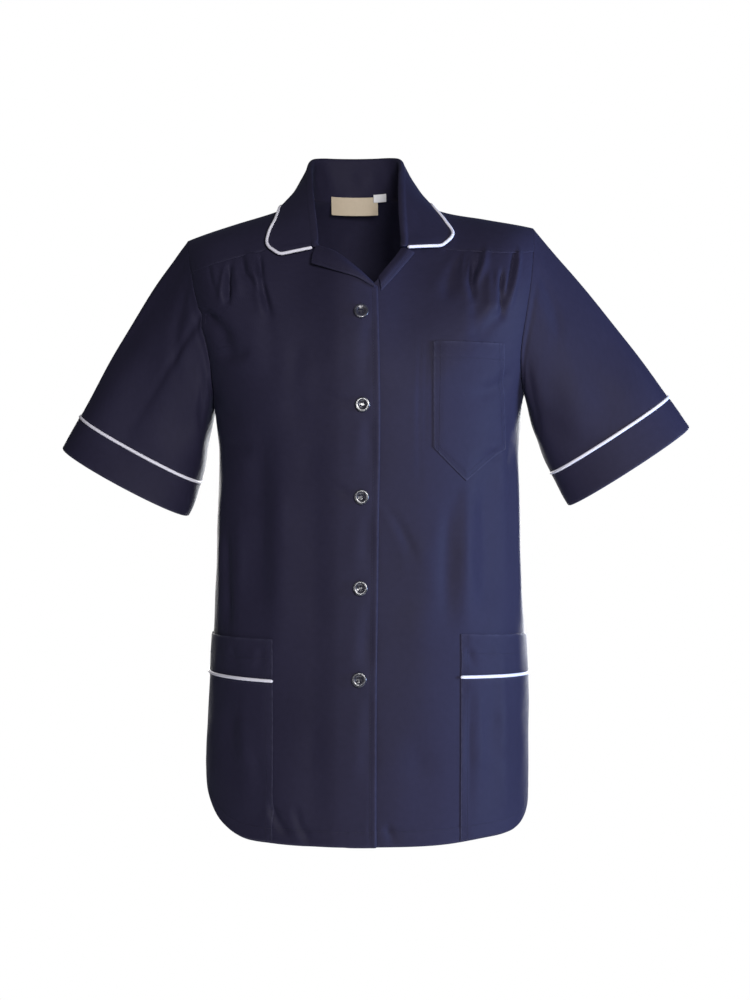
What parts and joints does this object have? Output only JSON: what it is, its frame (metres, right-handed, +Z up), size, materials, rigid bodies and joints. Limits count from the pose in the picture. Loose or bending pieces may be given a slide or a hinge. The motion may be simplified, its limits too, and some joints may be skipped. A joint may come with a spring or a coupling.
{
  "type": "work tunic",
  "caption": "Short-sleeved buttoned work tunic with a piped open collar, shoulder yokes, a chest pocket and piped hip pockets, hollow as if worn.",
  "frame": {"origin": "middle of the shoulder line at the foot of the neck, where the wearer's shoulders carry the garment", "axes": "+Z up towards the collar, -Y the way the wearer faces, -X towards the wearer's right"},
  "size_m": [0.6769, 0.2868, 0.7317],
  "materials": {
    "cloth": "smooth twill, slight sheen",
    "piping": "smooth corded cotton",
    "button": "glossy",
    "label": "woven satin",
    "tab": "plain tape"
  },
  "bodies": {
    "root": {"front_right": "cloth", "front_left": "cloth", "back": "cloth", "yoke_right": "cloth", "yoke_left": "cloth", "sleeve_right": "cloth", "sleeve_left": "cloth", "cuff_right": "cloth", "cuff_left": "cloth", "cuff_piping_right": "piping", "cuff_piping_left": "piping", "collar": "cloth", "collar_piping": "piping", "lapel_right": "cloth", "lapel_left": "cloth", "chest_pocket": "cloth", "hip_pocket_right": "cloth", "hip_pocket_left": "cloth", "hip_pocket_band_right": "cloth", "hip_pocket_band_left": "cloth", "hip_piping_right": "piping", "hip_piping_left": "piping", "button_1": "button", "button_2": "button", "button_3": "button", "button_4": "button", "button_5": "button", "neck_label": "label", "size_tab": "tab"}
  },
  "joints": []
}
